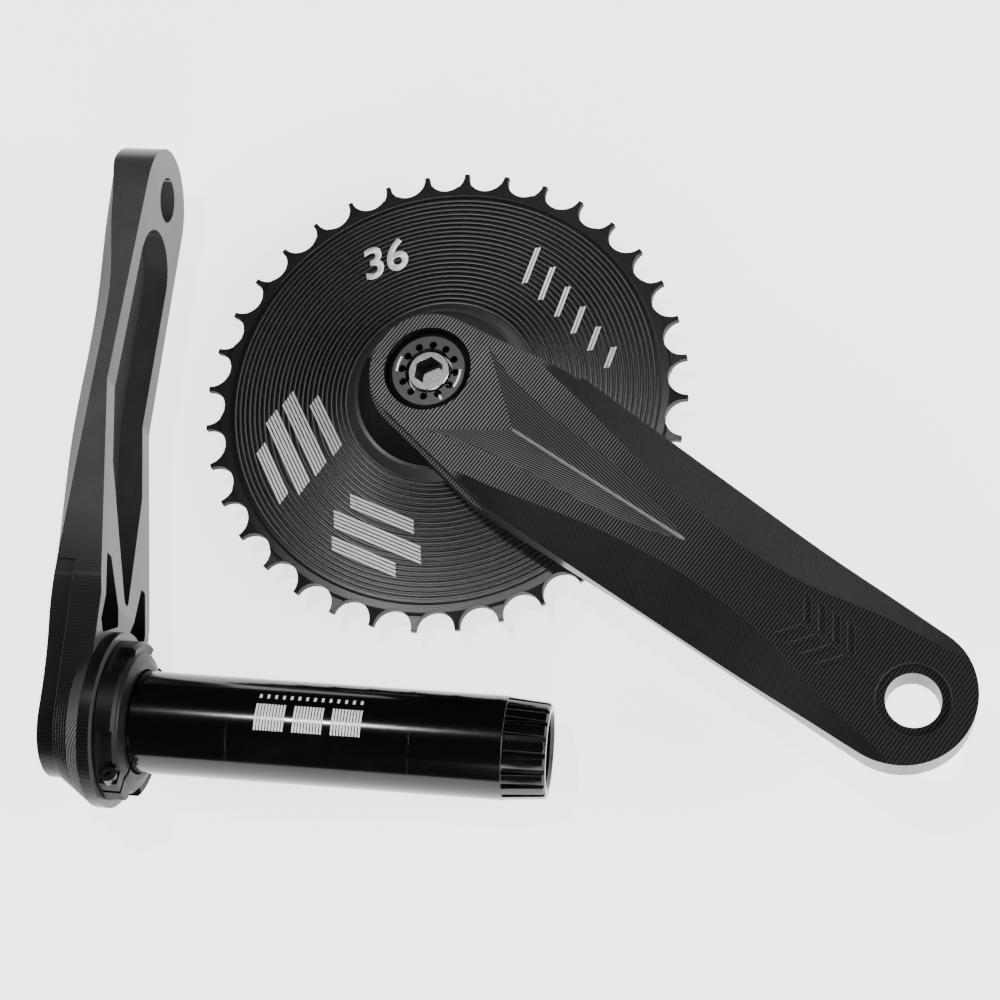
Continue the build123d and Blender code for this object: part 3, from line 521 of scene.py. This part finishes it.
def hatched_bar(width, length, slant, pitch, line):
    """A flat bar made of parallel strips, trimmed by slanted ends; centred on the origin."""
    clear_selection()
    bpy.ops.mesh.primitive_plane_add(size=1.0, location=(0, 0, 0))
    bar = bpy.context.object
    bpy.ops.object.mode_set(mode="EDIT")
    bpy.ops.mesh.select_all(action="SELECT")
    tall = (length + 2 * abs(math.tan(slant)) * width) * MM
    bpy.ops.transform.resize(value=(line * MM, tall * 1.2, 1.0))
    bpy.ops.object.mode_set(mode="OBJECT")
    count = max(int(width / pitch), 1)
    repeat = bar.modifiers.new("repeat", "ARRAY")
    repeat.count = count
    repeat.use_relative_offset = False
    repeat.use_constant_offset = True
    repeat.constant_offset_displace = (pitch * MM, 0.0, 0.0)
    bpy.ops.object.modifier_apply(modifier=repeat.name)
    bpy.ops.object.mode_set(mode="EDIT")
    bpy.ops.mesh.select_all(action="SELECT")
    bpy.ops.transform.translate(value=(-(count - 1) * pitch * MM / 2, 0, 0))
    for sign in (1.0, -1.0):
        normal = Vector((-math.sin(slant), math.cos(slant), 0.0)) * sign
        bpy.ops.mesh.select_all(action="SELECT")
        bpy.ops.mesh.bisect(
            plane_co=(0.0, sign * length * MM / 2, 0.0),
            plane_no=normal,
            clear_outer=True,
            clear_inner=False,
        )
    bpy.ops.object.mode_set(mode="OBJECT")
    return bar


def lay_down(piece, place):
    """Puts a finished flat piece in its place and gives its mesh that place."""
    clear_selection()
    piece.matrix_world = place
    piece.select_set(True)
    bpy.context.view_layer.objects.active = piece
    bpy.ops.object.transform_apply(location=True, rotation=True, scale=True)
    return piece


def thicken(piece):
    """Gives flat strips a thin wall on the side they face."""
    clear_selection()
    piece.select_set(True)
    bpy.context.view_layer.objects.active = piece
    wall = piece.modifiers.new("wall", "SOLIDIFY")
    wall.thickness = MARK_WALL * MM
    wall.offset = 1.0
    bpy.ops.object.modifier_apply(modifier=wall.name)


def join_up(parts, name):
    """Joins flat pieces into one named piece."""
    clear_selection()
    for part in parts:
        part.select_set(True)
    bpy.context.view_layer.objects.active = parts[0]
    if len(parts) > 1:
        bpy.ops.object.join()
    made = bpy.context.object
    made.name = name
    made.data.name = name
    return made


def hand_over(marks, material, body):
    """Gives a piece of marks its finish and the body that it rides on."""
    marks.data.materials.clear()
    marks.data.materials.append(material)
    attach(marks, body)


def arc_strip(inner, outer, start, end, steps):
    """A flat arc about the origin, spun from a short edge."""
    clear_selection()
    middle = (inner + outer) / 2
    bpy.ops.mesh.primitive_plane_add(size=1.0, location=(0, 0, 0))
    arc = bpy.context.object
    bpy.ops.object.mode_set(mode="EDIT")
    bpy.ops.mesh.select_all(action="SELECT")
    bpy.ops.transform.resize(value=((outer - inner) * MM, 1e-5, 1.0))
    bpy.ops.transform.translate(value=(middle * MM, 0, 0))
    bpy.ops.mesh.select_all(action="DESELECT")
    bpy.ops.object.mode_set(mode="OBJECT")
    for edge in arc.data.edges:
        ends = [arc.data.vertices[index].co for index in edge.vertices]
        edge.select = all(point.y > 0 for point in ends)
    bpy.ops.object.mode_set(mode="EDIT")
    bpy.ops.mesh.select_mode(type="EDGE")
    bpy.ops.mesh.spin(steps=steps, angle=-(end - start), center=(0, 0, 0), axis=(0, 0, 1))
    bpy.ops.mesh.select_all(action="SELECT")
    bpy.ops.mesh.remove_doubles(threshold=1e-6)
    bpy.ops.mesh.normals_make_consistent(inside=False)
    bpy.ops.object.mode_set(mode="OBJECT")
    arc.data.transform(Matrix.Rotation(start, 4, "Z"))
    upward = sum(face.normal.z for face in arc.data.polygons)
    if upward < 0:
        arc.data.flip_normals()
    return arc


def digits(body, size):
    """Flat digits as a mesh, centred on the origin."""
    clear_selection()
    bpy.ops.object.text_add(location=(0, 0, 0))
    text = bpy.context.object
    text.data.body = body
    text.data.size = size * MM
    text.data.align_x = "CENTER"
    text.data.align_y = "CENTER"
    text.data.resolution_u = 6
    text.data.offset = size * MM * 0.02
    text.data.shear = 0.12
    bpy.ops.object.convert(target="MESH")
    return bpy.context.object


# ---------------------------------------------------------------- settings
class CranksetFinishSettings(bpy.types.PropertyGroup):
    """Finish of the machined parts."""

    cutter_pitch: bpy.props.FloatProperty(
        name="Cutter line pitch",
        description="Distance between the cutter lines on the arms",
        default=0.00095,
        min=0.0003,
        max=0.003,
        precision=5,
        subtype="DISTANCE",
    )
    edge_radius: bpy.props.FloatProperty(
        name="Edge radius",
        description="Width of the worn band along sharp edges",
        default=0.00025,
        min=0.00005,
        max=0.002,
        precision=5,
        subtype="DISTANCE",
    )
    # Edge wear and painted highlight: how far sharp edges are painted lighter.
    edge_wear: bpy.props.FloatProperty(
        name="Edge wear",
        description="How bright the worn edges are",
        default=0.6,
        min=0.0,
        max=1.0,
        subtype="FACTOR",
    )
    wall_roughness: bpy.props.FloatProperty(
        name="Wall roughness",
        description="Roughness of the arms' side walls and inner faces",
        default=0.26,
        min=0.1,
        max=0.9,
        subtype="FACTOR",
    )
    roughness: bpy.props.FloatProperty(
        name="Arm roughness",
        description="Roughness of the arms' anodised surface",
        default=0.40,
        min=0.1,
        max=0.9,
        subtype="FACTOR",
    )


class CranksetMarkSettings(bpy.types.PropertyGroup):
    """Printed marks."""

    tone: bpy.props.FloatProperty(
        name="Mark tone",
        description="Whiteness of the printed marks",
        default=0.85,
        min=0.1,
        max=1.0,
        subtype="FACTOR",
    )
    teeth: bpy.props.IntProperty(
        name="Tooth count",
        description="The number that is etched on the chainring",
        default=36,
        min=20,
        max=60,
    )
    lift: bpy.props.FloatProperty(
        name="Mark height",
        description="How far a mark stands above the surface under it",
        default=0.00003,
        min=0.00001,
        max=0.0002,
        precision=5,
        subtype="DISTANCE",
    )


class CranksetStageSettings(bpy.types.PropertyGroup):
    """Studio floor, lights and camera."""

    floor_tone: bpy.props.FloatVectorProperty(
        name="Floor colour",
        description="Colour of the studio floor",
        default=(0.93, 0.93, 0.93),
        size=3,
        min=0.0,
        max=1.0,
        subtype="COLOR",
    )
    floor_glow: bpy.props.FloatProperty(
        name="Floor glow",
        description="Light that the floor itself gives, as on a light table",
        default=2.3,
        min=0.0,
        max=10.0,
    )
    key_power: bpy.props.FloatProperty(
        name="Key light power",
        description="Power of the small overhead key light",
        default=7.0,
        min=0.0,
        max=100.0,
    )
    light_power: bpy.props.FloatProperty(
        name="Light power",
        description="Scales every studio light",
        default=1.0,
        min=0.0,
        max=10.0,
    )
    lens: bpy.props.FloatProperty(
        name="Camera lens",
        description="Focal length of the camera in millimetres",
        default=63.91,
        min=20.0,
        max=200.0,
    )


# ---------------------------------------------------------------- operators
class CRANKSET_OT_arms(bpy.types.Operator):
    """Black anodised finish for both arms, with painted light and shade on their facets"""

    bl_idname = "crankset.arms"
    bl_label = "Finish the arms"

    def execute(self, context):
        settings = context.scene.crankset_finish
        dress("drive_arm", arm_finish("drive_arm_black", DRIVE_ARM, settings, False))
        dress("left_arm", arm_finish("left_arm_black", LEFT_ARM, settings, True))
        return {"FINISHED"}


class CRANKSET_OT_chainring(bpy.types.Operator):
    """Turned finish with painted sheen for the chainring, and dark steel for its bolts"""

    bl_idname = "crankset.chainring"
    bl_label = "Finish the chainring"

    def execute(self, context):
        settings = context.scene.crankset_finish
        dress("chainring", ring_finish(settings))
        bolts = turned_finish("ring_bolt_black", RING, 0.004, 0.012, 0.35, 0.0)
        for name in RING_BOLTS:
            dress(name, bolts)
        return {"FINISHED"}


class CRANKSET_OT_spindle(bpy.types.Operator):
    """Gloss black finish for the spindle"""

    bl_idname = "crankset.spindle"
    bl_label = "Finish the spindle"

    def execute(self, context):
        dress("spindle", spindle_finish(context.scene.crankset_finish))
        return {"FINISHED"}


class CRANKSET_OT_fasteners(bpy.types.Operator):
    """Finishes for the crank bolts, washers and extractor caps"""

    bl_idname = "crankset.fasteners"
    bl_label = "Finish the fasteners"

    def execute(self, context):
        for axes, bolt, cap, steel, nylon in zip(
            (DRIVE_ARM, LEFT_ARM), BOLT_NODES, CAP_NODES, STEEL_WASHERS, NYLON_WASHERS
        ):
            dress(bolt, turned_finish(bolt + "_silver", axes, 0.20, 0.40, 0.24, 1.0))
            dress(cap, turned_finish(cap + "_grey", axes, 0.006, 0.016, 0.34, 0.0, 0.35))
            dress(steel, turned_finish(steel + "_steel", axes, 0.35, 0.55, 0.3, 1.0))
            dress(nylon, moulded_finish(nylon + "_nylon", 0.004, 0.008, 0.5))
        return {"FINISHED"}


class CRANKSET_OT_adjuster(bpy.types.Operator):
    """Finishes for the preload adjuster, its seal and its pinch screw"""

    bl_idname = "crankset.adjuster"
    bl_label = "Finish the preload adjuster"

    def execute(self, context):
        dress("preload_adjuster", moulded_finish("collar_plastic", 0.002, 0.005, 0.42))
        dress("adjuster_seal", moulded_finish("seal_rubber", 0.002, 0.004, 0.65))
        screw = JOINTS["pinch_screw_turn"]
        axes = Axes(screw["pos_m"], (1, 0, 0), screw["axis"])
        dress("adjuster_pinch_screw", turned_finish("screw_black", axes, 0.004, 0.012, 0.3, 0.0))
        return {"FINISHED"}


class CRANKSET_OT_ring_marks(bpy.types.Operator):
    """Etched marks on the chainring: the tooth count and plain hatched bars"""

    bl_idname = "crankset.ring_marks"
    bl_label = "Add the chainring marks"

    def execute(self, context):
        settings = context.scene.crankset_marks
        lift = settings.lift / MM
        number = digits(str(settings.teeth), 15.0)
        parts = [lay_down(number, RING.matrix(-19, 46, lift, 0.28))]
        for turn, along, across, width, length in RING_BARS:
            x = along * math.cos(turn) - across * math.sin(turn)
            y = along * math.sin(turn) + across * math.cos(turn)
            bar = hatched_bar(width, length, 0.5, 1.05, 0.66)
            parts.append(lay_down(bar, RING.matrix(x, y, lift, turn - math.pi / 2)))
        for index in range(RING_DASHES):
            share = index / (RING_DASHES - 1)
            x = 28.0 + 24.0 * share
            y = 40.0 - 33.0 * share
            bar = hatched_bar(2.8, 12.5 - 1.1 * index, 0.4, 0.95, 0.66)
            parts.append(lay_down(bar, RING.matrix(x, y, lift, -0.35)))
        marks = join_up(parts, "ring_marks")
        thicken(marks)
        hand_over(marks, mark_finish("ring_mark_white", settings.tone), "drive_half")
        return {"FINISHED"}


class CRANKSET_OT_spindle_marks(bpy.types.Operator):
    """Printed hatched bars wrapped round the spindle's middle"""

    bl_idname = "crankset.spindle_marks"
    bl_label = "Add the spindle marks"

    def execute(self, context):
        settings = context.scene.crankset_marks
        parts = []
        for index in range(SPINDLE_BLOCKS):
            bar = hatched_bar(8.6, 7.6, 0.0, 0.86, 0.55)
            from_middle = index - (SPINDLE_BLOCKS - 1) / 2
            place = Vector((from_middle * 10.8 * MM, 1.0 * MM, 0))
            parts.append(lay_down(bar, Matrix.Translation(place)))
        for index in range(SPINDLE_DASHES):
            dash = hatched_bar(0.9, 1.3, 0.0, 0.9, 0.7)
            from_middle = index - (SPINDLE_DASHES - 1) / 2
            place = Vector((from_middle * 2.2 * MM, 7.4 * MM, 0))
            parts.append(lay_down(dash, Matrix.Translation(place)))
        marks = join_up(parts, "spindle_marks")
        bpy.ops.object.mode_set(mode="EDIT")
        bpy.ops.mesh.select_all(action="SELECT")
        bpy.ops.mesh.subdivide(number_cuts=7)
        bpy.ops.object.mode_set(mode="OBJECT")
        radius = SPINDLE_RADIUS + settings.lift / MM
        for vertex in marks.data.vertices:
            angle = vertex.co.y / (radius * MM)
            vertex.co.y = math.sin(angle) * radius * MM
            vertex.co.z = math.cos(angle) * radius * MM
        thicken(marks)
        lay_down(marks, SPINDLE.matrix(-1.5, 0, 0))
        hand_over(marks, mark_finish("spindle_mark_white", settings.tone), "left_half")
        return {"FINISHED"}


class CRANKSET_OT_cap_marks(bpy.types.Operator):
    """Two short arcs and an index line on each extractor cap"""

    bl_idname = "crankset.cap_marks"
    bl_label = "Add the cap marks"

    def execute(self, context):
        settings = context.scene.crankset_marks
        finish = mark_finish("cap_mark_white", settings.tone)
        for axes, body, cap in zip(
            (DRIVE_ARM, LEFT_ARM), ("drive_half", "left_half"), CAP_NODES
        ):
            places = [v.co for v in frame["nodes"][cap].data.vertices]
            top = max((place - axes.origin).dot(axes.z) for place in places) / MM
            place = axes.matrix(0, 0, top + settings.lift / MM)
            parts = []
            for inner, outer, start, end, steps in CAP_ARCS:
                arc = arc_strip(inner, outer, math.radians(start), math.radians(end), steps)
                parts.append(lay_down(arc, place))
            marks = join_up(parts, cap + "_marks")
            thicken(marks)
            hand_over(marks, finish, body)
        return {"FINISHED"}


class CRANKSET_OT_stage(bpy.types.Operator):
    """Pale floor, soft lights and the camera"""

    bl_idname = "crankset.stage"
    bl_label = "Set the stage"

    def execute(self, context):
        settings = context.scene.crankset_stage
        self.add_floor(settings)
        self.add_lights(settings)
        self.add_world(context, settings)
        self.add_camera(context, settings)
        return {"FINISHED"}

    def add_floor(self, settings):
        """A wide pale floor with a faint paper grain."""
        clear_selection()
        under = CAD_BOX[0].z - FLOOR_DROP
        bpy.ops.mesh.primitive_plane_add(size=FLOOR_SIZE, location=(0, 0, under))
        floor = bpy.context.object
        floor.name = "studio_floor"
        made = Finish("floor_paper")
        low = [channel * 0.985 for channel in settings.floor_tone]
        colour = made.blend(made.noise(12.0, 4.0), tuple(low), tuple(settings.floor_tone))
        made.gloss(colour, 0.9, 0.0, 0.1)
        made.shader.inputs["Emission Color"].default_value = grey(1.0)
        made.shader.inputs["Emission Strength"].default_value = settings.floor_glow
        floor.data.materials.append(made.material)

    def add_lights(self, settings):
        """A small key overhead, and soft boxes on the right, on the left and in front."""
        for name, place, size, power in LAMPS:
            clear_selection()
            aim = -Vector(place)
            bpy.ops.object.light_add(
                type="AREA", location=place, rotation=aim.to_track_quat("-Z", "Y").to_euler()
            )
            lamp = bpy.context.object
            lamp.name = name
            lamp.data.shape = "RECTANGLE"
            lamp.data.size, lamp.data.size_y = size
            lamp.data.energy = (power or settings.key_power) * settings.light_power

    def add_world(self, context, settings):
        """An even surround: pale behind the object, dim where the object reflects it."""
        world = bpy.data.worlds.new("studio_world")
        world.use_nodes = True
        nodes = world.node_tree.nodes
        links = world.node_tree.links
        reflected = nodes["Background"]
        reflected.inputs["Strength"].default_value = REFLECTED_SURROUND
        behind = nodes.new("ShaderNodeBackground")
        behind.inputs["Strength"].default_value = settings.floor_glow
        for background in (reflected, behind):
            background.inputs["Color"].default_value = grey(1.0)
        path = nodes.new("ShaderNodeLightPath")
        mix = nodes.new("ShaderNodeMixShader")
        links.new(path.outputs["Is Camera Ray"], mix.inputs["Fac"])
        links.new(reflected.outputs["Background"], mix.inputs[1])
        links.new(behind.outputs["Background"], mix.inputs[2])
        links.new(mix.outputs["Shader"], nodes["World Output"].inputs["Surface"])
        context.scene.world = world

    def add_camera(self, context, settings):
        """A camera above the crankset, looking down across it."""
        clear_selection()
        axis = Vector(JOINTS["crank_bolt_turn"]["pos_m"])
        place = Vector((axis.x, axis.y, RING_PLACE[2])) + Vector(CAMERA_OFFSET)
        forward = Vector(CAMERA_FORWARD).normalized()
        right = Vector(CAMERA_RIGHT)
        right = (right - forward * right.dot(forward)).normalized()
        up = right.cross(forward)
        turn = Matrix((right, up, -forward)).transposed()
        bpy.ops.object.camera_add(location=place, rotation=turn.to_euler())
        camera = bpy.context.object
        camera.name = "studio_camera"
        camera.data.lens = settings.lens
        camera.data.sensor_width = 36.0
        camera.data.clip_start = 0.01
        camera.data.clip_end = 50.0
        context.scene.camera = camera


STEPS = (
    CRANKSET_OT_stage,
    CRANKSET_OT_arms,
    CRANKSET_OT_chainring,
    CRANKSET_OT_spindle,
    CRANKSET_OT_fasteners,
    CRANKSET_OT_adjuster,
    CRANKSET_OT_ring_marks,
    CRANKSET_OT_spindle_marks,
    CRANKSET_OT_cap_marks,
)


class CRANKSET_PT_panel(bpy.types.Panel):
    """Sidebar panel that lists the crankset's steps"""

    bl_idname = "CRANKSET_PT_panel"
    bl_label = "Crankset"
    bl_space_type = "VIEW_3D"
    bl_region_type = "UI"
    bl_category = "Crankset"

    def draw(self, context):
        layout = self.layout
        for group in ("crankset_finish", "crankset_marks", "crankset_stage"):
            settings = getattr(context.scene, group)
            column = layout.column(align=True)
            for name in settings.__annotations__:
                column.prop(settings, name)
        for step in STEPS:
            layout.operator(step.bl_idname)


GROUPS = (
    ("crankset_finish", CranksetFinishSettings),
    ("crankset_marks", CranksetMarkSettings),
    ("crankset_stage", CranksetStageSettings),
)


def register():
    """Registers the settings, operators and panel."""
    for name, group in GROUPS:
        bpy.utils.register_class(group)
        setattr(bpy.types.Scene, name, bpy.props.PointerProperty(type=group))
    for step in STEPS:
        bpy.utils.register_class(step)
    bpy.utils.register_class(CRANKSET_PT_panel)


def unregister():
    """Removes everything that register added."""
    bpy.utils.unregister_class(CRANKSET_PT_panel)
    for step in reversed(STEPS):
        bpy.utils.unregister_class(step)
    for name, group in reversed(GROUPS):
        delattr(bpy.types.Scene, name)
        bpy.utils.unregister_class(group)


def main():
    """Runs every step in order."""
    register()
    for step in STEPS:
        group, action = step.bl_idname.split(".")
        getattr(getattr(bpy.ops, group), action)()


if __name__ == "__main__":
    main()
